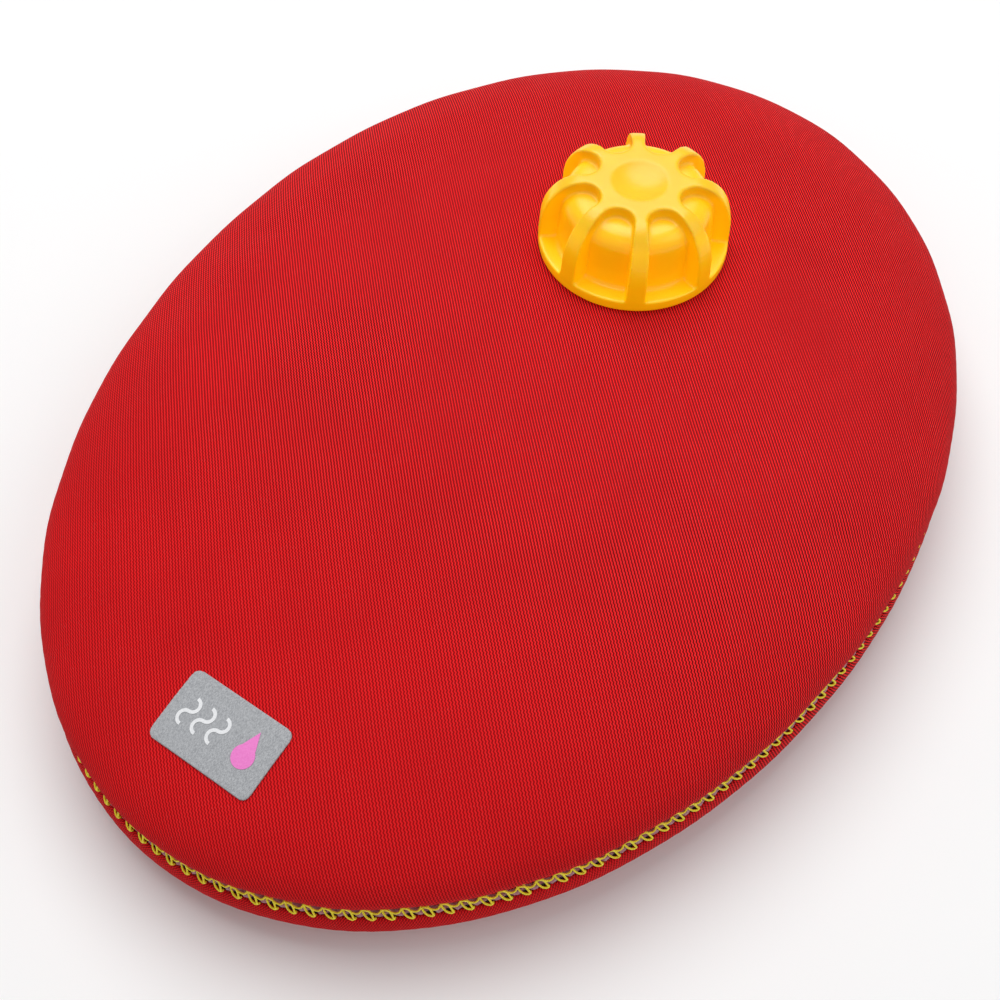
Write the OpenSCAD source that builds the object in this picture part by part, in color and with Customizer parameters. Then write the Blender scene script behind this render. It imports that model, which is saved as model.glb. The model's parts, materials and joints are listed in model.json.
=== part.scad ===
// Soft hot-water bottle of wetsuit material, lying on its back.
// Two sewn oval panels hold the water, and a screw cap closes the moulded neck.
// Z is up, Y runs along the body from the label end to the cap end.

/* [Body outline] */
// Length of the body at its widest line
body_length = 336; // [230:1:420]
// Width of the body at its widest line
body_width = 249.6; // [180:0.2:320]
// How far the broadest place lies from the middle, towards the cap
egg_shift = 7; // [0:0.5:15]

/* [Body section] */
// Height of the crown above the table
crown_height = 46; // [38:0.5:64]
// Height at which the top panel is widest
widest_height = 24; // [22:0.5:28]
// Height of the seam
seam_height = 20; // [16:0.5:21]
// How far the stitches draw the seam in
seam_inset = 1.35; // [0.8:0.05:2]
// How far the bottom panel swells out past the seam
bottom_swell = 1.5; // [0.5:0.1:2.5]
// Height at which the bottom panel is widest
swell_height = 14; // [11:0.5:15]
// Width of the curved border round the flat base
bottom_border = 52; // [35:1:70]
// Exponent that keeps the crown flat towards its middle
crown_flatness = 4.4; // [3:0.1:5.5]
// Exponent that fills the shoulder near the rim
shoulder_fullness = 2.9; // [2:0.1:3.5]

/* [Walls] */
// Thickness of the knitted face
knit_thickness = 0.8; // [0.5:0.1:1.2]
// Thickness of the foam core
foam_thickness = 3.6; // [2:0.1:5]
// Thickness of the waterproof lining
lining_thickness = 0.6; // [0.4:0.1:1]

/* [Seam] */
// Height of the glue line between the foam edges
glue_height = 0.4; // [0.2:0.1:0.8]
// Gap between the knitted edges, where the glue line shows
knit_gap = 0.7; // [0.4:0.1:1.2]
// Width of the tape that seals the seam inside
tape_width = 15; // [10:0.5:16]
// Thickness of that tape
tape_thickness = 0.5; // [0.3:0.1:0.8]
// Diameter of the sewing thread
thread_size = 0.6; // [0.4:0.05:0.8]
// Distance from one stitch to the next
stitch_pitch = 4.95; // [3.5:0.05:6]
// Height of one stitch across the seam
stitch_height = 4.4; // [3:0.1:5]
// How far one stitch leans along the seam
stitch_lean = 3.2; // [1:0.1:4]

/* [Neck] */
// Distance from the cap end of the body to the neck axis
neck_from_end = 104.5; // [80:1:120]
// Radius of the filling bore
bore_radius = 17; // [13:0.5:20]
// Wall of the neck tube
neck_wall = 2.8; // [2:0.1:3.5]
// Height of the neck above the cap's lower edge
neck_height = 16; // [13:0.5:18]
// Width of the inner flange outside the neck tube
flange_width = 9; // [6:0.5:11]
// Thickness of the inner flange
flange_thickness = 2; // [1.5:0.1:3]
// Least thickness of the washer between flange and lining
washer_thickness = 0.5; // [0.3:0.1:1]
// Width of the clamp ring outside the neck tube
ring_width = 5.3; // [4:0.1:6]
// Height of the clamp ring above the crown
ring_height = 2.2; // [1.5:0.1:2.5]

/* [Screw thread] */
// Rise in one turn
thread_lead = 6; // [4:0.5:7]
// Depth of the thread
thread_depth = 1.5; // [1:0.1:1.8]
// Radial gap between the two threads
thread_gap = 0.35; // [0.2:0.05:0.5]
// Width of a thread at its root
thread_root = 2.6; // [1.6:0.1:3]
// Width of a thread at its crest
thread_crest = 1.4; // [0.8:0.1:1.6]
// Turns of thread on the neck
neck_turns = 1.5; // [1:0.25:1.5]
// Turns of thread in the cap
cap_turns = 1.5; // [1:0.25:1.75]

/* [Cap] */
// Outer radius of the cap
cap_radius = 30.3; // [29.5:0.1:38]
// Height of the cap
cap_height = 26.3; // [25:0.1:34]
// Height of the flange at the cap's foot
foot_height = 4.2; // [3.5:0.1:6]
// Wall of the threaded barrel
barrel_wall = 2.7; // [2:0.1:3.5]
// Number of grip ribs
rib_count = 8; // [6:1:10]
// Angle of the first rib when the cap is tight
rib_angle = 32; // [0:1:44]
// Width of a rib at the top plate
rib_top = 4; // [3:0.1:5]
// Width of a rib at the foot
rib_foot = 6; // [4:0.1:7]
// Radius at which the pockets start
pocket_start = 13.5; // [12:0.1:15]
// Radius at which the flat top plate turns down
plate_radius = 17; // [15:0.5:19]
// Radius of the dimple in the top plate
dimple_radius = 8.7; // [6:0.1:10]
// Depth of the dimple
dimple_depth = 1.9; // [1:0.1:2.2]
// Thickness of the sealing ring
seal_thickness = 2.5; // [1.5:0.1:3]
// Width of the sealing ring
seal_width = 4.6; // [3:0.1:5]

/* [Label] */
// Distance from the label end of the body to the label's middle
label_from_end = 29.8; // [27:0.2:60]
// Length of the label across the body
label_length = 32.5; // [20:0.5:45]
// Width of the label along the body
label_width = 20.4; // [14:0.1:26]
// Radius of the label's corners
label_corner = 2.2; // [1:0.1:4]
// Thickness of the label
label_thickness = 0.7; // [0.4:0.1:1]
// Thickness of the print on it
print_thickness = 0.15; // [0.1:0.05:0.3]

/* [Hidden] */
$fn = 72;

half_length = body_length / 2;
half_width = body_width / 2;
wall = knit_thickness + foam_thickness + lining_thickness;
foam_depth = knit_thickness + foam_thickness;
tall = 2 * crown_height;
far = body_length;

neck_y = half_length - neck_from_end;
neck_radius = bore_radius + neck_wall;
flange_radius = neck_radius + flange_width;
fit_gap = 0.05;
hole_gap = 0.2;
cap_lift = 0.3;
cap_base = crown_height + cap_lift;
flange_top = crown_z(neck_y + flange_radius, wall) - washer_thickness;
thread_start = 5.5;
sunk = 0.3;

barrel_bore = neck_radius + thread_depth + thread_gap;
barrel_radius = barrel_bore + barrel_wall;
barrel_taper = 0.8;
shoulder_radius = 6.2;
foot_fillet = 1.3;
foot_recess = neck_radius + ring_width + 0.9;
recess_height = ring_height + 0.4;
ceiling = neck_height + seal_thickness + 2 * fit_gap;
pocket_floor = ceiling + 1.45 * barrel_wall;
core_radius = 12;
core_roof = cap_height - dimple_depth - 2.4;

label_y = label_from_end - half_length;
seam_reach = half_length - seam_inset;

// Height of the crown's surface, set in by depth, at a place on the long axis
function crown_z(y, depth) =
    let (end = half_length - depth + (y > egg_shift ? -egg_shift : egg_shift),
        share = min(1, abs(y - egg_shift) / end))
    widest_height + (crown_height - depth - widest_height)
        * pow(1 - pow(share, crown_flatness), 1 / shoulder_fullness);

// Half section of the closed body, set in by depth
function body_section(depth) =
    let (rim = half_length - depth, draw = rim - seam_inset, swell = draw + bottom_swell,
        dome = 16, turn = 4, under = 7)
    concat(
        [for (i = [0 : dome]) let (share = sin(90 * i / dome))
            [rim * share, widest_height + (crown_height - depth - widest_height)
                * pow(max(0, 1 - pow(share, crown_flatness)), 1 / shoulder_fullness)]],
        [for (i = [1 : turn]) let (u = 90 * i / turn)
            [rim - seam_inset * (1 - cos(u)),
                widest_height - (widest_height - seam_height) * sin(u)]],
        [for (i = [1 : turn]) let (u = 90 - 90 * i / turn)
            [swell - bottom_swell * (1 - cos(u)),
                swell_height + (seam_height - swell_height) * sin(u)]],
        [for (i = [1 : under]) let (u = 90 * i / under)
            [swell - bottom_border * (1 - cos(u)),
                swell_height - (swell_height - depth) * sin(u)]],
        [[0, depth]]);

// The closed body, set in by depth: two half ovals that meet at the broadest place
module body_fill(depth) {
    rim = half_length - depth;
    across = (half_width - depth) / rim;
    translate([0, egg_shift, 0]) union() {
        scale([across, (rim - egg_shift) / rim, 1])
            rotate_extrude(angle = 180) polygon(body_section(depth));
        scale([across, (rim + egg_shift) / rim, 1])
            rotate([0, 0, 180]) rotate_extrude(angle = 180) polygon(body_section(depth));
    }
}

// A layer of the wall between two depths
module body_layer(outer, inner) {
    difference() {
        body_fill(outer);
        body_fill(inner);
    }
}

module slab(low, high) {
    translate([-far, -far, low]) cube([2 * far, 2 * far, high - low]);
}

module upper_part(outer, inner, gap) {
    difference() {
        body_layer(outer, inner);
        slab(-1, seam_height + gap / 2);
        translate([0, neck_y, seam_height]) cylinder(r = neck_radius + hole_gap, h = tall);
    }
}

module lower_part(outer, inner, gap) {
    difference() {
        body_layer(outer, inner);
        slab(seam_height - gap / 2, tall);
    }
}

module upper_knit() { color([0.78, 0.07, 0.09]) upper_part(0, knit_thickness, knit_gap); }
module upper_foam() {
    color([0.25, 0.24, 0.26]) upper_part(knit_thickness, foam_depth, glue_height);
}
module upper_lining() { color([0.16, 0.16, 0.17]) upper_part(foam_depth, wall, 0); }
module lower_knit() { color([0.72, 0.06, 0.08]) lower_part(0, knit_thickness, knit_gap); }
module lower_foam() {
    color([0.25, 0.24, 0.26]) lower_part(knit_thickness, foam_depth, glue_height);
}
module lower_lining() { color([0.16, 0.16, 0.17]) lower_part(foam_depth, wall, 0); }

module seam_glue() {
    color([0.62, 0.52, 0.56]) intersection() {
        body_layer(knit_thickness, foam_depth);
        slab(seam_height - glue_height / 2, seam_height + glue_height / 2);
    }
}

module seam_tape() {
    color([0.12, 0.12, 0.13]) intersection() {
        body_layer(wall, wall + tape_thickness);
        slab(seam_height - tape_width / 2, seam_height + tape_width / 2);
    }
}

// How far the seam's oval runs in one degree of its own angle
function oval_end(turn) = seam_reach + (sin(turn) > 0 ? -egg_shift : egg_shift);
function oval_speed(turn) =
    norm([(half_width - seam_inset) * sin(turn), oval_end(turn) * cos(turn)]) * PI / 180;
function oval_point(turn) =
    [(half_width - seam_inset) * cos(turn), egg_shift + oval_end(turn) * sin(turn)];
function oval_heading(turn) =
    atan2(oval_end(turn) * cos(turn), -(half_width - seam_inset) * sin(turn));
function oval_length() = let (steps = 360) oval_sum(steps, 0);
function oval_sum(steps, i) =
    i >= steps ? 0 : oval_speed((i + 0.5) * 360 / steps) * 360 / steps + oval_sum(steps, i + 1);

// The looped thread that runs along the knitted edge of the top panel
module edge_thread() {
    middle = seam_height + 0.6 * (widest_height - seam_height);
    color([0.86, 0.74, 0.05]) intersection() {
        body_layer(-thread_size, 0);
        slab(middle - thread_size / 2, middle + thread_size / 2);
    }
}

// The slanted thread that crosses the seam once in every stitch
module cross_thread() {
    count = round(oval_length() / stitch_pitch);
    pitch = oval_length() / count;
    turns = [for (i = 0, turn = 0; i < count;
        turn = turn + pitch / oval_speed(turn + pitch / oval_speed(turn) / 2), i = i + 1) turn];
    length = norm([stitch_lean, stitch_height]);
    color([0.86, 0.74, 0.05]) for (turn = turns) {
        place = oval_point(turn);
        translate([place.x, place.y, seam_height - 0.9])
            rotate([0, 0, oval_heading(turn) - 90])
                translate([bottom_swell + thread_size / 2 + fit_gap, 0, 0])
                    rotate([atan2(stitch_lean, stitch_height), 0, 0])
                        cylinder(d = thread_size, h = length, center = true, $fn = 24);
    }
}

// A right-hand thread as one closed band that fades out at both ends
module screw_thread(root, crest, turns, start_angle) {
    per_turn = 36;
    count = round(per_turn * turns);
    fade = 4;
    ring = [for (i = [0 : count])
        let (angle = start_angle + 360 * i / per_turn,
            level = thread_start + thread_lead * i / per_turn,
            grow = min(1, i / fade, (count - i) / fade),
            tip = root + (crest - root) * (0.12 + 0.88 * grow))
        each [for (p = [[root, -thread_root / 2], [tip, -thread_crest / 2],
                [tip, thread_crest / 2], [root, thread_root / 2]])
            [p[0] * cos(angle), p[0] * sin(angle), level + p[1]]]];
    outward = crest > root;
    sides = [for (i = [0 : count - 1], k = [0 : 3])
        let (a = 4 * i + k, b = 4 * i + (k + 1) % 4)
        outward ? [a, b, b + 4, a + 4] : [a + 4, b + 4, b, a]];
    first = outward ? [3, 2, 1, 0] : [0, 1, 2, 3];
    last = [for (k = [0 : 3]) 4 * count + (outward ? k : 3 - k)];
    polyhedron(points = ring, faces = [for (f = concat(sides, [first, last]))
        each [[f[0], f[1], f[2]], [f[0], f[2], f[3]]]], convexity = 6);
}

module neck() {
    tube_bottom = flange_top - flange_thickness;
    color([0.93, 0.91, 0.86]) translate([0, neck_y, 0]) difference() {
        union() {
            translate([0, 0, tube_bottom])
                cylinder(r = neck_radius, h = cap_base + neck_height - tube_bottom);
            translate([0, 0, tube_bottom]) cylinder(r = flange_radius, h = flange_thickness);
            translate([0, 0, cap_base])
                screw_thread(neck_radius - sunk, neck_radius + thread_depth, neck_turns, 0);
        }
        translate([0, 0, tube_bottom - 1]) cylinder(r = bore_radius, h = tall);
    }
}

module flange_washer() {
    color([0.3, 0.3, 0.32]) intersection() {
        body_fill(wall);
        translate([0, neck_y, flange_top]) difference() {
            cylinder(r = flange_radius, h = crown_height);
            translate([0, 0, -1]) cylinder(r = neck_radius + fit_gap, h = tall);
        }
    }
}

module clamp_ring() {
    top = crown_height + ring_height;
    color([0.93, 0.91, 0.86]) difference() {
        translate([0, neck_y, seam_height]) cylinder(r = neck_radius + ring_width, h = top - seam_height);
        body_fill(0);
        translate([0, neck_y, 0]) cylinder(r = neck_radius + fit_gap, h = tall);
    }
}

module cap_seal() {
    color([0.2, 0.2, 0.21]) translate([0, neck_y, cap_base + neck_height + fit_gap])
        difference() {
            cylinder(r = neck_radius + 0.6, h = seal_thickness);
            translate([0, 0, -1]) cylinder(r = neck_radius + 0.6 - seal_width, h = tall);
        }
}

// Outline that the ribs and the top plate share
function grip_section() =
    let (steps = 14, edge = 0.8, side = cap_radius - 0.3, spring = 9)
    concat(
        [[0, 0], [cap_radius - edge, 0], [cap_radius, edge], [cap_radius, foot_height]],
        [for (i = [0 : steps]) let (u = 90 * i / steps)
            [plate_radius + (side - plate_radius) * cos(u),
                spring + (cap_height - spring) * sin(u)]],
        [[0, cap_height]]);

// Outline of the threaded barrel between the ribs
function barrel_section() =
    let (steps = 6, neckline = barrel_radius - barrel_taper,
        centre = [neckline - shoulder_radius, pocket_floor - shoulder_radius])
    concat(
        [[0, foot_height - 1], [barrel_radius + foot_fillet, foot_height - 1]],
        [for (i = [0 : steps]) let (u = 90 * i / steps)
            [barrel_radius + foot_fillet * (1 - sin(u)),
                foot_height + foot_fillet * (1 - cos(u))]],
        [for (i = [0 : steps]) let (u = 90 * i / steps)
            [centre.x + shoulder_radius * cos(u), centre.y + shoulder_radius * sin(u)]],
        [[0, pocket_floor]]);

// Plan of one pocket, which lies along X between two ribs
module pocket_plan() {
    half = 180 / rib_count;
    centre = (pocket_start - rib_top / 2) / (1 - sin(half));
    sides = [[centre * cos(half), rib_top / 2], [cap_radius, rib_foot / 2],
        [cap_radius + 3, rib_foot / 2]];
    upper = [for (p = sides)
        [p.x * cos(half) + p.y * sin(half), p.x * sin(half) - p.y * cos(half)]];
    lower = [for (i = [2 : -1 : 0]) [upper[i].x, -upper[i].y]];
    translate([centre, 0]) circle(r = centre * sin(half) - rib_top / 2);
    polygon(concat(upper, lower));
}

// Ribs, top plate and foot in one piece, with the pockets taken out
module cap_grip() {
    difference() {
        rotate_extrude() polygon(grip_section());
        for (i = [0 : rib_count - 1])
            rotate([0, 0, (i + 0.5) * 360 / rib_count])
                translate([0, 0, foot_height])
                    linear_extrude(height = cap_height) pocket_plan();
    }
}

module cap() {
    bowl = (dimple_radius * dimple_radius + dimple_depth * dimple_depth) / (2 * dimple_depth);
    color([0.98, 0.80, 0.05]) translate([0, neck_y, cap_base]) {
        difference() {
            rotate([0, 0, rib_angle]) union() {
                cap_grip();
                rotate_extrude() polygon(barrel_section());
            }
            translate([0, 0, -1]) cylinder(r = foot_recess, h = recess_height + 1);
            translate([0, 0, -1]) cylinder(r = barrel_bore, h = ceiling + 1);
            translate([0, 0, -1]) cylinder(r = core_radius, h = core_roof + 1);
            translate([0, 0, cap_height - dimple_depth + bowl]) sphere(r = bowl);
        }
        screw_thread(barrel_bore + sunk, barrel_bore - thread_depth, cap_turns, 180);
    }
}

// A plan laid on the crown between two heights above the knit
module on_crown(low, high) {
    intersection() {
        body_layer(-high, -low);
        translate([0, label_y, widest_height]) linear_extrude(height = crown_height) children();
    }
}

module label_plan() {
    long = label_length - 2 * label_corner;
    short = label_width - 2 * label_corner;
    square([long, label_width], center = true);
    square([label_length, short], center = true);
    for (x = [-long, long] / 2, y = [-short, short] / 2)
        translate([x, y]) circle(r = label_corner);
}

module label_patch() {
    color([0.66, 0.67, 0.68]) on_crown(0, label_thickness) label_plan();
}

// One rising line of warmth: two half rings that make an S
module wave_plan(radius, stroke) {
    for (side = [-1, 1])
        translate([0, side * radius]) intersection() {
            difference() {
                circle(r = radius + stroke / 2);
                circle(r = radius - stroke / 2);
            }
            translate([side > 0 ? 0 : -2 * radius, -2 * radius]) square([2 * radius, 4 * radius]);
        }
}

module label_waves() {
    bend = label_width / 11;
    color([0.95, 0.95, 0.95])
        on_crown(label_thickness, label_thickness + print_thickness)
            for (i = [0 : 2])
                translate([label_length * (0.15 * i - 0.32), 0]) wave_plan(bend, bend / 2);
}

module label_drop() {
    radius = label_width / 6.5;
    color([0.9, 0.45, 0.72])
        on_crown(label_thickness, label_thickness + print_thickness)
            translate([label_length * 0.27, -radius / 2]) {
                circle(r = radius);
                polygon([[0, 2.3 * radius], [-0.9 * radius, 0.2 * radius], [0.9 * radius, 0.2 * radius]]);
            }
}

upper_knit();
upper_foam();
upper_lining();
lower_knit();
lower_foam();
lower_lining();
seam_glue();
seam_tape();
edge_thread();
cross_thread();
neck();
flange_washer();
clamp_ring();
cap_seal();
cap();
label_patch();
label_waves();
label_drop();
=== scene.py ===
import bpy, bmesh, json, math
import numpy as np
from mathutils import Matrix, Vector


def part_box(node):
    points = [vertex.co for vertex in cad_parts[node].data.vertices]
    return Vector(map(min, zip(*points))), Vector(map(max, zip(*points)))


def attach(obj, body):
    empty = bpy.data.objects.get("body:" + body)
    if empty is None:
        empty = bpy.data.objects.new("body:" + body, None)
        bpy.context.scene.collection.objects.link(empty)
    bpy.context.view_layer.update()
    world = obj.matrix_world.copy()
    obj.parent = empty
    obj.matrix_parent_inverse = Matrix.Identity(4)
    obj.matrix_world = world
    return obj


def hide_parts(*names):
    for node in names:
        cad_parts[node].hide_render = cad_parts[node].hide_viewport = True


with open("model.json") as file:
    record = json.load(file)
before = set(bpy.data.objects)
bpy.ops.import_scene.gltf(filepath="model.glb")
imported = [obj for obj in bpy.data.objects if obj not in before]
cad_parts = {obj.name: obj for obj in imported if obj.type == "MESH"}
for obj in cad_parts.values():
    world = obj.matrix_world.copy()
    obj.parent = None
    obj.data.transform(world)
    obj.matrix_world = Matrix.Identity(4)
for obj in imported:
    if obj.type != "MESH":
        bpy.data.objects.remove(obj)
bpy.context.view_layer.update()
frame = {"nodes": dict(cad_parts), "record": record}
nodes = frame["nodes"]
mm = 0.001
whole = 2 * math.pi                                # one full turn

# Sizes of the body, in millimetres, as in the CAD part
body = {
    "halfWidth": 124.8, "halfLength": 168.0, "eggShift": 7.0,   # oval in plan, longer at the label end
    "crown": 46.0, "widest": 24.0, "flatness": 4.4, "fullness": 2.9, "middle": 22,
    "seamHeight": 20.0, "seamInset": 1.35, "seamGap": 0.7,
    "swell": 2.1, "swellHeight": 14.0, "border": 52.0,
}
neck = {"y": 63.5, "hole": 20.9, "cutOver": 1.6, "snap": 6}
label = {"y": -138.2, "long": 32.5, "wide": 20.4}


class Wire:                                        # a socket that can be added, multiplied and so on
    def __init__(self, net, socket):
        self.net, self.socket = net, socket

    def maths(self, operation, *values):
        return self.net.add("ShaderNodeMath", {"operation": operation}, dict(enumerate(values)))

    def __add__(self, other): return self.maths("ADD", self, other)
    def __radd__(self, other): return self.maths("ADD", other, self)
    def __sub__(self, other): return self.maths("SUBTRACT", self, other)
    def __rsub__(self, other): return self.maths("SUBTRACT", other, self)
    def __mul__(self, other): return self.maths("MULTIPLY", self, other)
    def __rmul__(self, other): return self.maths("MULTIPLY", other, self)
    def cosine(self): return self.maths("COSINE", self)
    def sine(self): return self.maths("SINE", self)
    def root(self): return self.maths("SQRT", self)

    def between(self, low, high):                  # 0 at low, 1 at high, eased in between
        return self.net.add("ShaderNodeMapRange", {"interpolation_type": "SMOOTHSTEP"},
                            {"Value": self, "From Min": low, "From Max": high})


class Net:                                         # one material and its nodes
    def __init__(self, name):
        self.material = bpy.data.materials.new(name)
        self.material.use_nodes = True
        self.tree = self.material.node_tree
        self.tree.nodes.clear()

    def add(self, kind, settings={}, inputs={}, output=0):
        node = self.tree.nodes.new(kind)
        for key, value in settings.items():
            setattr(node, key, value)
        for key, value in inputs.items():
            if isinstance(value, Wire):
                self.tree.links.new(value.socket, node.inputs[key])
            else:
                node.inputs[key].default_value = value
        return Wire(self, node.outputs[output]) if len(node.outputs) else node

    def place(self, centre=(0, 0, 0)):             # object coordinates in millimetres, from a centre
        here = self.add("ShaderNodeTexCoord", output="Object")
        return self.add("ShaderNodeMapping", {}, {"Vector": here, "Scale": (1000, 1000, 1000),
                                                  "Location": tuple(-c for c in centre)})

    def axes(self, vector):
        split = self.add("ShaderNodeSeparateXYZ", {}, {0: vector}).socket.node
        return [Wire(self, out) for out in split.outputs]

    def uv(self, name):
        return self.axes(self.add("ShaderNodeUVMap", {"uv_map": name}))

    def noise(self, vector, scale, detail=2.0, rough=0.5):
        return self.add("ShaderNodeTexNoise", {}, {"Vector": vector, "Scale": scale, "Detail": detail,
                                                   "Roughness": rough})

    def mix(self, factor, first, second):          # between two colours
        return self.add("ShaderNodeMix", {"data_type": "RGBA"}, {0: factor, 6: first, 7: second}, 2)

    def bump(self, height, distance, strength=1.0):
        return self.add("ShaderNodeBump", {}, {"Height": height, "Distance": distance * mm,
                                               "Strength": strength})

    def finish(self, **inputs):
        names = {"color": "Base Color", "roughness": "Roughness", "normal": "Normal", "coat": "Coat Weight",
                 "coatRoughness": "Coat Roughness", "sheen": "Sheen Weight", "sheenRoughness": "Sheen Roughness",
                 "sheenTint": "Sheen Tint", "scatter": "Subsurface Weight", "scatterRadius": "Subsurface Radius",
                 "scatterScale": "Subsurface Scale", "ior": "IOR", "specular": "Specular IOR Level",
                 "glow": "Emission Color", "glowing": "Emission Strength"}
        shader = self.add("ShaderNodeBsdfPrincipled", {}, {names[k]: v for k, v in inputs.items()})
        self.add("ShaderNodeOutputMaterial", {}, {"Surface": shader})
        return self.material


def tone(r, g, b):                                 # a screen colour 0-255 as the shader's linear colour
    line = [c / 255 for c in (r, g, b)]
    return tuple(c / 12.92 if c <= 0.04045 else ((c + 0.055) / 1.055) ** 2.4 for c in line) + (1.0,)


knitLook = {
    "column": (0.860, 0.835), "course": (0.595, -0.657),         # turns per millimetre along x and y
    "slow": (0.035, 3.0, 0.55), "fuzz": (1.6, 2.0, 0.6),         # noise scale, detail and roughness
    "wander": 5, "sway": 0.15, "fray": 0.9, "ridge": (0.15, 0.7), "tight": (-125, 0),
    # painted shade: gap and dark are the near-black hollows between the ridges and loops
    "thread": (255, 38, 42), "gap": (14, 0, 1), "dark": (2, 0, 0), "paleCrest": (255, 92, 94),
    # painted shade for the front end, which faces away from the light
    "frontShadeColor": (200, 14, 20), "frontShadeShare": 0.55, "cloud": (150, 8, 16), "cloudShare": 0.12,
    "sheenTint": (255, 90, 90), "depth": 0.12,
}


def redKnit():
    look = knitLook
    net = Net("redKnit")
    x, y, _ = net.uv("weave")
    place = net.place()
    frontShade = 1 - net.axes(place)[1].between(*look["tight"])      # painted shade: the front end, turned away from the light, gets a darker red with less pattern
    slow, fuzz = net.noise(place, *look["slow"]), net.noise(place, *look["fuzz"])
    column = (x * look["column"][0] + y * look["column"][1]) * whole + slow * look["wander"]
    course = (x * look["course"][0] + y * look["course"][1]) * whole + slow * look["wander"]
    swayed = column + course.sine() * (look["sway"] * whole) + (fuzz - 0.5) * look["fray"]
    ridge = swayed.cosine() * 0.5 + 0.5
    pit = (1 - ridge) * (1 - ridge) * (course.cosine() * 0.4 + 0.6)       # painted shade between the loops, also the hollow in the bump
    # painted shade: near-black in the valleys between the ridges
    yarn = net.mix(ridge.between(*look["ridge"]), tone(*look["gap"]), tone(*look["thread"]))
    yarn = net.mix(pit * (fuzz.between(0.25, 0.75) * 0.7 + 0.25), yarn, tone(*look["dark"]))
    # paler spots on the ridge tops
    yarn = net.mix(ridge * fuzz.between(0.5, 0.75) * 0.35, yarn, tone(*look["paleCrest"]))
    yarn = net.mix(frontShade * look["frontShadeShare"], yarn, tone(*look["frontShadeColor"]))
    color = net.mix(slow.between(0.35, 0.7) * look["cloudShare"], yarn, tone(*look["cloud"]))
    return net.finish(color=color, roughness=fuzz.between(0.1, 0.9) * 0.12 + 0.74,
                      normal=net.bump(ridge - pit * 0.5 + fuzz * 0.4, look["depth"], 0.7),
                      sheen=0.04, sheenRoughness=0.4, sheenTint=tone(*look["sheenTint"]), specular=0.08)


rubberLook = {                                     # material, colour, specks, grain per mm, roughness, depth
    "foam_core": ("foamCore", (52, 50, 54), (78, 76, 80), 1.1, 0.85, 0.1),
    "waterproof_lining": ("waterproofLining", (38, 38, 41), (56, 56, 60), 2.2, 0.45, 0.03),
    "seam_cement": ("seamCement", (178, 116, 128), (208, 172, 182), 1.6, 0.55, 0.12),
    "seal_tape": ("sealTape", (48, 48, 52), (70, 70, 74), 2.5, 0.5, 0.03),
    "soft_seal": ("softSeal", (54, 54, 57), (70, 70, 73), 3.0, 0.6, 0.02),
}


def rubber(name, base, speck, grain, roughness, depth):
    net = Net(name)
    place = net.place()
    fine, slow = net.noise(place, grain, 3.0, 0.6), net.noise(place, 0.08, 2.0)
    color = net.mix(fine.between(0.4, 0.75), tone(*base), tone(*speck))
    color = net.mix(slow.between(0.3, 0.8) * 0.2, color, tone(*[c * 0.75 for c in base]))
    return net.finish(color=color, roughness=fine.between(0.2, 0.8) * 0.15 + roughness,
                      normal=net.bump(fine, depth), specular=0.35)


threadLook = {"light": (255, 242, 48), "shade": (248, 212, 14), "plies": (9, 14), "fuzz": 4.0, "depth": 0.05}


def yellowThread():
    net = Net("yellowThread")
    x, y, z = net.axes(net.place())
    across, up = threadLook["plies"]
    twist = ((x + y) * across + z * up).cosine() * 0.5 + 0.5     # plies of the twisted thread
    fuzz = net.noise(net.place(), threadLook["fuzz"], 2.0)
    color = net.mix(twist * 0.3, tone(*threadLook["light"]), tone(*threadLook["shade"]))
    return net.finish(color=color, roughness=fuzz * 0.15 + 0.45,
                      normal=net.bump(twist + fuzz * 0.5, threadLook["depth"]),
                      sheen=0.2, sheenRoughness=0.4, specular=0.4)


capLook = {
    # painted light: deep is painted shade for the recesses, and top is a darker yellow set against the direct
    # light on the top plate
    "top": (255, 198, 8), "side": (255, 212, 2), "deep": (255, 200, 0), "cloud": (240, 160, 0),
    "inner": (255, 172, 0), "glowing": 0.3,                      # painted glow on the sides and recesses, standing in for light through the thin walls
    "barrel": (23.6, 27.5), "crown": (20.5, 24.5),               # radius of the recesses, height of the top
    "scatter": 0.35, "scatterRadius": (1.0, 0.45, 0.03), "scatterDepth": 3, "depth": 0.04,
}


def capPlastic():
    net = Net("capPlastic")
    low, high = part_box("cap")
    place = net.place((0, neck["y"], low.z / mm))
    x, y, z = net.axes(place)
    out = (x * x + y * y).root()
    recessShade = 1 - out.between(*capLook["barrel"])                 # painted shade: the barrel behind the grip ribs
    # painted light: the top plate is toned darker against the direct light it gets
    top = z.between(*capLook["crown"])
    cloud = net.noise(place, 0.12, 2.0)
    grain = net.noise(place, 3.0, 2.0, 0.5)
    color = net.mix(recessShade * (1 - top), tone(*capLook["side"]), tone(*capLook["deep"]))
    color = net.mix(top * 0.75, color, tone(*capLook["top"]))
    color = net.mix(cloud.between(0.3, 0.7) * 0.10, color, tone(*capLook["cloud"]))
    # painted glow on the sides and in the recesses, much less on the top plate
    return net.finish(color=color, roughness=grain * 0.06 + cloud * 0.08 + 0.28,
                      normal=net.bump(grain * 0.3 + cloud, capLook["depth"]), coat=0.1, coatRoughness=0.12,
                      scatter=capLook["scatter"], scatterRadius=capLook["scatterRadius"],
                      scatterScale=capLook["scatterDepth"] * mm, ior=1.49, glowing=capLook["glowing"],
                      glow=net.mix(top * 0.8, tone(*capLook["inner"]), tone(0, 0, 0)))


neckLook = {"light": (236, 232, 221), "shade": (226, 220, 206), "depth": 0.03,
            "scatter": 0.15, "scatterDepth": 1.5}


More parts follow.
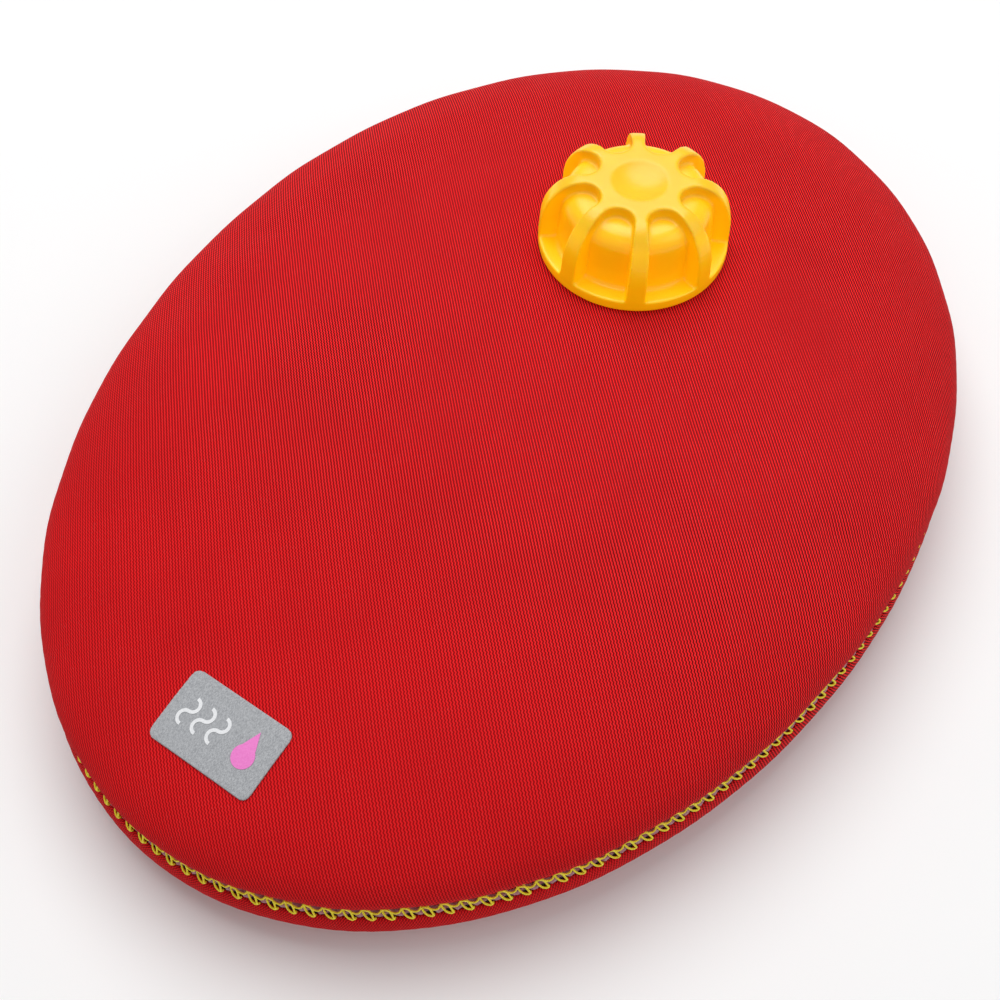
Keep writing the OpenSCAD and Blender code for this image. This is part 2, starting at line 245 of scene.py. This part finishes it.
def neckPlastic():
    net = Net("neckPlastic")
    place = net.place((0, neck["y"], 0))
    grain, cloud = net.noise(place, 2.0, 2.0), net.noise(place, 0.15, 2.0)
    color = net.mix(cloud.between(0.3, 0.7), tone(*neckLook["light"]), tone(*neckLook["shade"]))
    return net.finish(color=color, roughness=grain * 0.1 + 0.34, normal=net.bump(grain, neckLook["depth"]),
                      scatter=neckLook["scatter"], scatterRadius=(1, 0.8, 0.6),
                      scatterScale=neckLook["scatterDepth"] * mm)


feltLook = {"dark": (146, 148, 152), "light": (186, 188, 191), "fleck": (140, 142, 146),
            "stretch": 0.35, "depth": 0.12}


def felt():
    net = Net("labelFelt")
    x, y, z = net.axes(net.place((0, label["y"], 0)))
    flat = net.add("ShaderNodeCombineXYZ", {}, {"X": x, "Y": y * feltLook["stretch"], "Z": z})
    fibre, fleck = net.noise(flat, 4.6, 3.0, 0.65), net.noise(flat, 0.6, 2.0)
    color = net.mix(fibre.between(0.3, 0.7), tone(*feltLook["dark"]), tone(*feltLook["light"]))
    color = net.mix(fleck.between(0.55, 0.75) * 0.25, color, tone(*feltLook["fleck"]))
    return net.finish(color=color, roughness=fibre * 0.1 + 0.8, normal=net.bump(fibre, feltLook["depth"]),
                      sheen=0.15, sheenRoughness=0.5, specular=0.2)


printLook = {"print_white": ("printWhite", (232, 233, 235), (206, 208, 212)),
             "print_pink": ("printPink", (236, 128, 204), (224, 104, 186))}


def softPrint(name, ink, under):                   # raised soft print on the felt
    net = Net(name)
    grain = net.noise(net.place((0, label["y"], 0)), 2.6, 3.0, 0.6)
    color = net.mix(grain.between(0.35, 0.7) * 0.5, tone(*ink), tone(*under))
    return net.finish(color=color, roughness=grain * 0.2 + 0.5, normal=net.bump(grain, 0.06))


looks = {"red_knit": redKnit(), "yellow_thread": yellowThread(), "cap_plastic": capPlastic(),
         "neck_plastic": neckPlastic(), "label_grey": felt()}
looks.update({slot: rubber(*look) for slot, look in rubberLook.items()})
looks.update({slot: softPrint(*look) for slot, look in printLook.items()})
slotOf = {part["node"]: part["material_slot"] for part in frame["record"]["subparts"]}
for name, thing in nodes.items():                  # every CAD piece that stays gets its finish
    for place in thing.material_slots:
        place.material = looks[slotOf[name]]
print("materials made")


def newObject(name, mesh):
    thing = bpy.data.objects.new(name, mesh)
    bpy.context.scene.collection.objects.link(thing)
    return thing


def baked(thing, name):                            # the mesh with its modifiers applied, as a new object
    bpy.context.view_layer.update()
    mesh = bpy.data.meshes.new_from_object(thing.evaluated_get(bpy.context.evaluated_depsgraph_get()))
    bpy.data.objects.remove(thing)
    return newObject(name, mesh)


def toMesh(bm, name):                              # the finished bmesh as a new mesh
    mesh = bpy.data.meshes.new(name)
    bm.to_mesh(mesh)
    bm.free()
    return mesh


def smoothFaces(mesh):
    for face in mesh.polygons:
        face.use_smooth = True


def standFor(thing, slot, onBody, *hidden):        # gives a piece its finish, its body and the nodes it replaces
    thing.data.materials.clear()
    thing.data.materials.append(looks[slot])
    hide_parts(*hidden)
    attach(thing, onBody)
    print(thing.name, len(thing.data.polygons), "faces")


def readCo(mesh):
    co = np.zeros(len(mesh.vertices) * 3)
    mesh.vertices.foreach_get("co", co)
    return co.reshape(-1, 3)


def writeCo(mesh, co):
    mesh.vertices.foreach_set("co", co.ravel())
    mesh.update()


def readRun(mesh):                                 # how far each point lies along the profile
    run = np.zeros(len(mesh.vertices))
    mesh.attributes["run"].data.foreach_get("value", run)
    return run


def lengthsAlong(line):                            # distance from the start to each point of a line
    return np.concatenate([[0], np.cumsum(np.hypot(*np.diff(line, axis=0).T))])


def ovalPoint(radius, angle):                      # a circle stretched to the body's plan, each end its own way
    shift = body["eggShift"]
    end = np.where(np.sin(angle) > 0, body["halfLength"] - shift, body["halfLength"] + shift)
    return radius * np.cos(angle), shift + radius * end / body["halfWidth"] * np.sin(angle)


def ovalTable(steps=7200):                         # angle for each share of the way round the seam
    angle = np.linspace(-math.pi / 2, 1.5 * math.pi, steps + 1)
    run = lengthsAlong(np.stack(ovalPoint(body["halfWidth"] - body["seamInset"], angle), 1))
    return angle, run / run[-1], run[-1]


ovalAngles, ovalShares, seamLength = ovalTable()
stitch = {
    "count": 185, "first": -43.3, "radius": 0.29,
    "pucker": 0.42, "puckerReach": 3.4, "puckerLift": 0.1, "puckerBelow": 0.4,
    "uneven": 0.3, "unevenBeats": (12.9898, 4.1414),
    "lean": 0.16, "leanBeat": 7.31, "stretch": 0.1, "stretchBeat": 3.77,
}
stitch["pitch"] = seamLength / stitch["count"]


def stitchesAlong(share):                          # how many stitches from the first one
    return (share * seamLength - stitch["first"]) / stitch["pitch"]


def roundAndShare(co):                             # radius, share of the way round, and the oval's angle there
    radius, share = np.hypot(co[:, 0], co[:, 1]), (np.arctan2(co[:, 1], co[:, 0]) / whole) % 1
    return radius, share, np.interp(share, ovalShares, ovalAngles)


def resample(line, wanted):                        # points of a dense line at the wanted distances
    line = np.array(line)
    run = lengthsAlong(line)
    stops = wanted(run[-1])
    return np.stack([np.interp(stops, run, line[:, k]) for k in (0, 1)], 1), stops


def turnRound(bm, geom, columns, wedges):          # one wedge is spun, then the wedge is copied round
    bmesh.ops.spin(bm, geom=geom, cent=(0, 0, 0), axis=(0, 0, 1), angle=whole / wedges,
                   steps=columns // wedges, use_merge=False)
    bmesh.ops.spin(bm, geom=bm.verts[:] + bm.edges[:] + bm.faces[:], cent=(0, 0, 0), axis=(0, 0, 1),
                   angle=whole * (wedges - 1) / wedges, steps=wedges - 1, use_duplicate=True)
    bmesh.ops.remove_doubles(bm, verts=bm.verts, dist=1e-3)
    bmesh.ops.recalc_face_normals(bm, faces=bm.faces)


def spunShell(name, points, stops, columns, wedges):   # the profile turned round and stretched to the oval
    bm = bmesh.new()
    run = bm.verts.layers.float.new("run")
    line = [bm.verts.new((r, 0, z)) for r, z in points]
    for vertex, stop in zip(line, stops):
        vertex[run] = stop
    edges = [bm.edges.new(pair) for pair in zip(line, line[1:])]
    turnRound(bm, line + edges, columns, wedges)
    mesh = toMesh(bm, name)
    co = readCo(mesh)
    radius, share, angle = roundAndShare(co)
    co[:, 0], co[:, 1] = ovalPoint(radius, angle)
    writeCo(mesh, co)
    return mesh, share, readRun(mesh)


shell = {
    "knit": 0.8, "drawn": 2.4, "drawnFrom": 31.0,                # the thread draws the top edge in below 31
    "columns": 1110, "wedges": 30, "rimRing": 0.9, "innerRing": 4.0, "rimBand": 16.0,
    "ripple": 0.22, "rippleReach": 14, "ripples": ((17, 1), (29, 4)), "fill": 0.8,
}
fineSteps = {"crown": 900, "edge": 60, "flat": 200, "border": 400, "swell": 80}


def stopsTo(total):                                # wide rings inside, close rings near the seam
    start = total - shell["rimBand"]
    inner = np.linspace(0, start, round(start / shell["innerRing"]) + 1)
    outer = np.linspace(start, total, round(shell["rimBand"] / shell["rimRing"]) + 1)
    return np.concatenate([inner, outer[1:]])


def drawnIn(z):
    share = np.clip((shell["drawnFrom"] - z) / (shell["drawnFrom"] - body["seamHeight"]), 0, 1)
    return shell["drawn"] * share * share * (3 - 2 * share)


def topProfile(drawn=1.0):
    rim, lift = body["halfWidth"], body["crown"] - body["widest"]
    share = np.cos(np.linspace(math.pi / 2, 0, fineSteps["crown"])) ** (2 / body["flatness"])
    share[0] = 0
    up = body["widest"] + lift * (1 - share ** body["flatness"]) ** (1 / body["fullness"])
    line = [(rim * s - drawn * drawnIn(z), z) for s, z in zip(share, up)]
    edge = np.linspace(body["widest"], body["seamHeight"] + body["seamGap"] / 2, fineSteps["edge"])[1:]
    return line + [(rim - drawn * drawnIn(z), z) for z in edge]


def bottomProfile():
    swell = body["halfWidth"] - body["seamInset"] + body["swell"]
    step = body["seamHeight"] - body["swellHeight"]
    line = [(r, 0.0) for r in np.linspace(0, swell - body["border"], fineSteps["flat"])]
    line += [(swell - body["border"] * (1 - math.cos(u)), body["swellHeight"] * (1 - math.sin(u)))
             for u in np.linspace(math.pi / 2, 0, fineSteps["border"])[1:]]
    top = math.asin((step - body["seamGap"] / 2) / step)
    return line + [(swell - body["swell"] * (1 - math.cos(u)), body["swellHeight"] + step * math.sin(u))
                   for u in np.linspace(0, top, fineSteps["swell"])[1:]]


cloth = {
    "columns": 96, "wedges": 8, "ring": 7.0, "start": 0.3, "frames": 20, "least": -0.1, "most": 1.2,
    "shrink": 0.01, "grow": 100,                   # the run works in decimetres, where Cloth behaves well
    "pressure": 0.9, "quality": 6, "mass": 0.3, "damping": 2.0, "stiffness": 40, "bending": 8,
    "rimHold": 12, "rimFade": 8, "neckHold": 38, "labelHold": 12, "fade": 10, "floorHold": 0.6,
}


def heldShare(co, run, total, top):                # 1 where the panel is held still: rim, neck, label, floor
    held = np.clip((run - (total - cloth["rimHold"])) / cloth["rimFade"], 0, 1)
    if top:
        fromNeck = np.hypot(co[:, 0], co[:, 1] - neck["y"])
        held = np.maximum(held, np.clip((cloth["neckHold"] - fromNeck) / cloth["fade"], 0, 1))
        across, along = np.abs(co[:, 0]) - label["long"] / 2, np.abs(co[:, 1] - label["y"]) - label["wide"] / 2
        out = np.maximum(across, along)
        return np.maximum(held, np.clip((cloth["labelHold"] - out) / cloth["fade"], 0, 1))
    return np.maximum(held, (co[:, 2] < cloth["floorHold"]).astype(float))


def clothRun(thing, held):                         # steps the Cloth modifier and reads where the points end
    group = thing.vertex_groups.new(name="held")
    for i in np.nonzero(held > 0)[0]:
        group.add([int(i)], float(held[i]), "REPLACE")
    modifier = thing.modifiers.new("cloth", "CLOTH")
    kit = modifier.settings
    kit.quality, kit.mass, kit.air_damping = cloth["quality"], cloth["mass"], cloth["damping"]
    kit.tension_stiffness = kit.compression_stiffness = kit.shear_stiffness = cloth["stiffness"]
    kit.bending_stiffness = cloth["bending"]
    kit.use_pressure, kit.uniform_pressure_force = True, cloth["pressure"]
    kit.vertex_group_mass, kit.pin_stiffness = "held", 1.0
    kit.effector_weights.gravity = 0
    modifier.point_cache.frame_start, modifier.point_cache.frame_end = 1, cloth["frames"]
    for step in range(1, cloth["frames"] + 1):
        bpy.context.scene.frame_set(step)
    settled = readCo(thing.evaluated_get(bpy.context.evaluated_depsgraph_get()).data) * cloth["grow"]
    bpy.context.scene.frame_set(1)
    return settled


def settle(name, profile, top):                    # a short cloth run on a coarse copy, read back as a grid
    rings = round(sum(math.dist(a, b) for a, b in zip(profile, profile[1:])) / cloth["ring"])
    points, stops = resample(profile, lambda total: np.linspace(0, total, rings + 1))
    mesh, share, run = spunShell(name + "Coarse", points, stops, cloth["columns"], cloth["wedges"])
    co = readCo(mesh)
    held = heldShare(co, run, stops[-1], top)
    normals = np.array([v.normal for v in mesh.vertices])
    outward = np.where(normals[:, 2:] * (1 if top else -1) < 0, -normals, normals)
    sunk = co - outward * cloth["start"] * (1 - held)[:, None]
    writeCo(mesh, sunk * cloth["shrink"])
    thing = newObject(name + "Coarse", mesh)
    lift = ((clothRun(thing, held) - co) * outward).sum(1)
    least, most = float(lift.min()), float(lift.max())
    print(name, "cloth lifts", round(least, 2), "to", round(most, 2), "mm before its limit")
    moved = outward * (np.clip(lift, cloth["least"], cloth["most"]) * (1 - held))[:, None]
    grid = np.zeros((rings + 1, cloth["columns"], 3))
    ring = np.round(run / stops[-1] * rings).astype(int)
    grid[ring, np.round(share * cloth["columns"]).astype(int) % cloth["columns"]] = moved
    grid[0] = moved[ring == 0].mean(0)
    bpy.data.objects.remove(thing)
    return grid, stops


def fromGrid(grid, stops, run, share):             # eased between the coarse rings and columns
    rings = np.clip(np.searchsorted(stops, run, side="right") - 1, 0, len(stops) - 2)
    down = np.clip((run - stops[rings]) / (stops[rings + 1] - stops[rings]), 0, 1)[:, None]
    wide = share * grid.shape[1]
    column = np.floor(wide).astype(int) % grid.shape[1]
    across = (wide - np.floor(wide))[:, None]
    down, across = down * down * (3 - 2 * down), across * across * (3 - 2 * across)
    after = (column + 1) % grid.shape[1]
    return ((grid[rings, column] * (1 - across) + grid[rings, after] * across) * (1 - down)
            + (grid[rings + 1, column] * (1 - across) + grid[rings + 1, after] * across) * down)


def puckered(mesh, co, gap, share, shown):         # pulled in at each stitch, swelling between, rippling slowly
    along = stitchesAlong(share)
    first, second = stitch["unevenBeats"]
    number = np.floor(along + 0.5)
    strong = 1 + stitch["uneven"] * np.sin(number * first) * np.sin(number * second)
    fade = np.exp(-gap / stitch["puckerReach"])
    pull = stitch["pucker"] * shown * strong * fade * (stitch["puckerLift"] - np.cos(along * whole))
    waves = sum(np.sin(share * whole * count + offset) for count, offset in shell["ripples"])
    slow = shell["ripple"] * shown * np.exp(-gap / shell["rippleReach"]) * waves
    normals = np.array([v.normal for v in mesh.vertices])
    flip = np.sign((normals * (co - [0, body["eggShift"], body["middle"]])).sum(1))[:, None]
    return co + normals * flip * (pull + slow * (1 - fade))[:, None]


def mapWeave(mesh, co, run, points, stops):        # the cloth laid flat, in millimetres
    corner = np.zeros(len(mesh.loops), int)
    mesh.loops.foreach_get("vertex_index", corner)
    longer = np.where(points[:, 0] > 1, stops / np.maximum(points[:, 0], 1), 1)
    flat = (co[:, :2] - [0, body["eggShift"]]) * np.interp(run, stops, longer)[:, None]
    mesh.uv_layers.new(name="weave").data.foreach_set("uv", flat[corner].ravel())


def fromNeckAxis(point):
    return math.hypot(point.x, point.y - neck["y"] * mm)


def cutHole(mesh):                                 # the panel ends under the neck's clamp ring
    bm = bmesh.new()
    bm.from_mesh(mesh)
    cut = (neck["hole"] + neck["cutOver"]) * mm
    gone = [f for f in bm.faces if fromNeckAxis(f.calc_center_median()) < cut]
    bmesh.ops.delete(bm, geom=gone, context="FACES")
    for vertex in bm.verts:
        if vertex.is_boundary and fromNeckAxis(vertex.co) < (neck["hole"] + neck["snap"]) * mm:
            grow = neck["hole"] * mm / fromNeckAxis(vertex.co)
            vertex.co.x *= grow
            vertex.co.y = neck["y"] * mm + (vertex.co.y - neck["y"] * mm) * grow
    bm.to_mesh(mesh)
    bm.free()


def faceOut(mesh):
    bm = bmesh.new()
    bm.from_mesh(mesh)
    middle = Vector((0, 0, body["middle"] * mm))
    wrong = sum((f.normal.dot(f.calc_center_median() - middle)) < 0 for f in bm.faces)
    if wrong > len(bm.faces) / 2:
        bmesh.ops.reverse_faces(bm, faces=bm.faces)
    bm.to_mesh(mesh)
    bm.free()


def panel(name, profile, top, node):
    points, stops = resample(profile, stopsTo)
    mesh, share, run = spunShell(name, points, stops, shell["columns"], shell["wedges"])
    co = readCo(mesh)
    grid, rings = settle(name, profile, top)
    co += fromGrid(grid, rings, run, share)
    writeCo(mesh, co)
    co = puckered(mesh, co, stops[-1] - run, share, 1.0 if top else stitch["puckerBelow"])
    if not top:
        co[:, 2] = np.maximum(co[:, 2], 0)
    mapWeave(mesh, co, run, points, stops)
    writeCo(mesh, co * mm)
    if top:
        cutHole(mesh)
    faceOut(mesh)
    smoothFaces(mesh)
    thing = newObject(name, mesh)
    wall = thing.modifiers.new("thickness", "SOLIDIFY")
    wall.thickness, wall.offset, wall.use_even_offset = shell["knit"] * mm, -1, True
    thing = baked(thing, name)
    standFor(thing, "red_knit", "bottle", node)


foam = {"outer": 0.85, "inner": 4.4, "columns": 360, "wedges": 30, "outerRings": 90, "innerRings": 60}


def setIn(profile, depth, count):                  # the profile moved inward, with fewer points
    points, _ = resample(profile, lambda total: np.linspace(0, total, count))
    along = np.gradient(points, axis=0)
    along /= np.hypot(along[:, 0], along[:, 1])[:, None]
    moved = points + depth * np.stack([along[:, 1], -along[:, 0]], 1)
    moved[0, 0] = 0
    return moved


def topFoam():                                     # drawn in at its edge with the knit over it
    outer = setIn(topProfile(), foam["outer"], foam["outerRings"])
    inner = setIn(topProfile(0.0), foam["inner"], foam["innerRings"])
    loop = np.concatenate([outer, inner[::-1]])
    mesh, _, _ = spunShell("topFoam", loop, lengthsAlong(loop), foam["columns"], foam["wedges"])
    writeCo(mesh, readCo(mesh) * mm)
    cutHole(mesh)
    smoothFaces(mesh)
    standFor(newObject("topFoam", mesh), "foam_core", "bottle", "upper_foam")


topFoam()
panel("topPanel", topProfile(), True, "upper_knit")
panel("bottomPanel", bottomProfile(), False, "lower_knit")


cement = {                                         # the adhesive that shows between the two edges
    "tall": 0.95, "deep": 0.9, "sunk": 0.65, "sides": 10, "columns": 925, "wedges": 25,
    "wave": 0.35, "waveShift": 5.0, "rough": 0.15, "roughBeats": (310, 87),
}


def seamCement():
    bm = bmesh.new()
    ring = bmesh.ops.create_circle(bm, segments=cement["sides"], radius=1)["verts"]
    upright = Matrix(((cement["deep"], 0, 0, 0), (0, 0, -1, 0), (0, cement["tall"], 0, 0), (0, 0, 0, 1)))
    bmesh.ops.transform(bm, verts=ring, matrix=upright)
    rim = body["halfWidth"] - body["seamInset"] - cement["sunk"]
    bmesh.ops.translate(bm, verts=ring, vec=(rim, 0, body["seamHeight"]))
    turnRound(bm, bm.verts[:] + bm.edges[:], cement["columns"], cement["wedges"])
    mesh = toMesh(bm, "seamCement")
    co = readCo(mesh)
    radius, share, angle = roundAndShare(co)
    fine, coarse = cement["roughBeats"]
    wave = cement["wave"] * np.cos(stitchesAlong(share) * whole - cement["waveShift"])
    lumps = cement["rough"] * np.sin(share * whole * fine) * np.sin(share * whole * coarse + 1)
    co[:, 0], co[:, 1] = ovalPoint(radius + wave + lumps, angle)
    writeCo(mesh, co * mm)
    smoothFaces(mesh)
    standFor(newObject("seamCement", mesh), "seam_cement", "bottle", "seam_glue")


seamCement()


strands = {                                        # millimetres along the seam, above it and out from the rim
    "eyeTop": [(-0.1, 2.3, -2.8), (0.05, 2.8, -2.15), (0.65, 4.0, -1.75), (1.3, 3.5, -1.7), (1.9, 2.3, -1.7),
               (2.5, 1.1, -1.0), (2.95, 0.15, -0.4), (3.1, -0.3, -0.9)],
    "eyeLow": [(-0.1, 2.4, -2.8), (0.1, 1.9, -2.0), (0.6, 1.05, -1.25), (1.3, 0.5, -0.65), (2.0, 0.15, -0.4),
               (2.65, 0.05, -0.3), (3.05, -0.2, -0.8)],
    "link": [(1.5, 3.1, -2.4), (1.8, 2.6, -1.75), (2.6, 1.9, -1.5), (3.4, 1.55, -1.4), (4.3, 1.9, -1.55),
             (4.95, 2.6, -2.4)],
}


def seamPoint(along, up, out):
    angle = float(np.interp((along / seamLength) % 1, ovalShares, ovalAngles))
    x, y = ovalPoint(body["halfWidth"], angle)
    dx, dy = ovalPoint(body["halfWidth"], angle + 1e-4)
    ahead = Vector((float(dx - x), float(dy - y), 0)).normalized()
    side = Vector((ahead.y, -ahead.x, 0))
    return (Vector((float(x), float(y), body["seamHeight"] + up)) + side * out) * mm


def seamThread():
    curve = bpy.data.curves.new("seamThread", "CURVE")
    curve.dimensions, curve.bevel_depth, curve.bevel_resolution = "3D", stitch["radius"] * mm, 1
    curve.use_fill_caps, curve.resolution_u = True, 2
    for i in range(stitch["count"]):
        start = stitch["first"] + i * stitch["pitch"]
        lean = stitch["lean"] * math.sin(i * stitch["leanBeat"])
        grow = 1 + stitch["stretch"] * math.sin(i * stitch["stretchBeat"])
        for strand in strands.values():
            line = curve.splines.new("BEZIER")
            line.bezier_points.add(len(strand) - 1)
            for spot, (along, up, out) in zip(line.bezier_points, strand):
                spot.co = seamPoint(start + along + lean * (1 if up < 0 else 0), up * grow, out)
                spot.handle_left_type = spot.handle_right_type = "AUTO"
    thing = baked(newObject("seamThreadCurve", curve), "seamThread")
    smoothFaces(thing.data)
    standFor(thing, "yellow_thread", "bottle", "edge_thread", "cross_thread")


seamThread()


capEdges = {"voxel": 0.42, "passes": 9}
labelEdges = {"voxel": 0.25, "passes": 3}


def softened(name, node, slot, edges, onBody):     # the CAD shape with its edges softened
    bm = bmesh.new()
    bm.from_mesh(nodes[node].data)
    bmesh.ops.remove_doubles(bm, verts=bm.verts, dist=1e-6)
    thing = newObject(name + "Sharp", toMesh(bm, name))
    remesh = thing.modifiers.new("even", "REMESH")
    remesh.mode, remesh.voxel_size, remesh.use_smooth_shade = "VOXEL", edges["voxel"] * mm, True
    smooth = thing.modifiers.new("soften", "SMOOTH")
    smooth.factor, smooth.iterations = 0.5, edges["passes"]
    standFor(baked(thing, name), slot, onBody, node)


softened("capShell", "cap", "cap_plastic", capEdges, "cap")
softened("labelPatch", "label_patch", "label_grey", labelEdges, "bottle")


ground = {"half": 4, "drop": 0.3,                  # metres, and the millimetres that clear the flat base
          "light": (246, 246, 246), "shade": (240, 240, 241)}


def floor():
    bm = bmesh.new()
    bmesh.ops.create_grid(bm, x_segments=1, y_segments=1, size=ground["half"])
    bmesh.ops.translate(bm, vec=(0, 0, -ground["drop"] * mm), verts=bm.verts)
    mesh = toMesh(bm, "floor")
    net = Net("paleFloor")
    grain = net.noise(net.place(), 0.02, 2.0)
    net.finish(color=net.mix(grain * 0.3, tone(*ground["light"]), tone(*ground["shade"])), roughness=0.9)
    mesh.materials.append(net.material)
    newObject("floor", mesh)


lamps = {
    "key": {"at": (-0.62, 0.62, 1.85), "size": 2.0, "power": 32.0},
    "side": {"at": (1.2, 0.4, 1.3), "size": 1.2, "power": 4.0},
    "front": {"at": (0.5, -1.3, 1.3), "size": 1.0, "power": 0.9},
}
aim, roomLight = Vector((0, 0, 0.03)), 0.42


def lighting():
    for name, kit in lamps.items():
        light = bpy.data.lights.new(name, "AREA")
        light.shape, light.size, light.energy = "DISK", kit["size"], kit["power"]
        thing = newObject(name, light)
        thing.location = kit["at"]
        thing.rotation_euler = (aim - Vector(kit["at"])).to_track_quat("-Z", "Y").to_euler()
    world = bpy.data.worlds.new("studio")
    world.use_nodes = True
    back = world.node_tree.nodes["Background"]
    back.inputs["Color"].default_value, back.inputs["Strength"].default_value = (1, 1, 1, 1), roomLight
    bpy.context.scene.world = world
    bpy.context.scene.view_settings.view_transform = "Standard"


view = {"target": (12.94, -31.12, 25.0), "azimuth": 33.286, "elevation": 57.272, "distance": 375.4,
        "roll": 0.942, "lens": 45.15, "sensor": 36.0, "near": 0.01}


def shootFrom():
    az, el, roll = (math.radians(view[k]) for k in ("azimuth", "elevation", "roll"))
    back = Vector((math.sin(az) * math.cos(el), -math.cos(az) * math.cos(el), math.sin(el)))
    right = Vector((math.cos(az), math.sin(az), 0))
    up = back.cross(right)
    right, up = right * math.cos(roll) + up * math.sin(roll), up * math.cos(roll) - right * math.sin(roll)
    lens = bpy.data.cameras.new("camera")
    lens.lens, lens.sensor_width, lens.clip_start = view["lens"], view["sensor"], view["near"]
    thing = newObject("camera", lens)
    place = Matrix((right, up, back)).transposed().to_4x4()
    place.translation = (Vector(view["target"]) + back * view["distance"]) * mm
    thing.matrix_world = place
    bpy.context.scene.camera = thing


floor()
lighting()
shootFrom()
print("studio ready")
